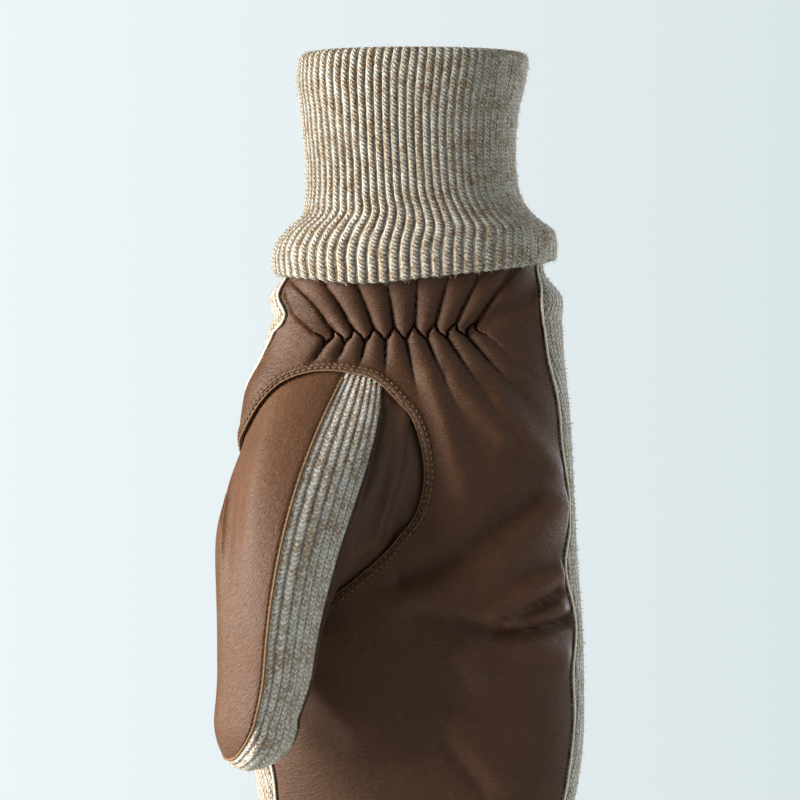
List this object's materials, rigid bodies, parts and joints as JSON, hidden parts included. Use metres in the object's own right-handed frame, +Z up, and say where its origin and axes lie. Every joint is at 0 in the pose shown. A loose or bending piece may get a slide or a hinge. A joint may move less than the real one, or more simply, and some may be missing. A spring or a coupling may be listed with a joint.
{
  "type": "leather mitten",
  "caption": "Right-hand mitten with a gathered leather palm, a knitted back, a leather thumb with a knitted strip and a turned-down ribbed cuff.",
  "frame": {"origin": "centre of the wrist's hollow, level with the elastic that gathers the leather palm; it is where the mitten sits on a wrist", "axes": "+Z up along the forearm and out of the cuff's mouth, -Y the palm side, -X the thumb side"},
  "size_m": [0.1251, 0.0846, 0.3108],
  "materials": {
    "cuff_knit": "heather rib-knitted wool, matt and slightly fuzzy",
    "palm_leather": "soft brown glove leather, fine grain, dull sheen",
    "back_knit": "heather plain-knitted wool, matt and slightly fuzzy",
    "thumb_leather": "soft brown glove leather, fine grain, dull sheen",
    "strip_knit": "heather plain-knitted wool, matt and slightly fuzzy",
    "inner_leather": "soft brown glove leather, fine grain, dull sheen"
  },
  "bodies": {
    "root": {"cuff": "cuff_knit", "palm": "palm_leather", "back": "back_knit", "thumb_front": "thumb_leather", "thumb_strip": "strip_knit", "thumb_inner": "inner_leather"}
  },
  "joints": []
}
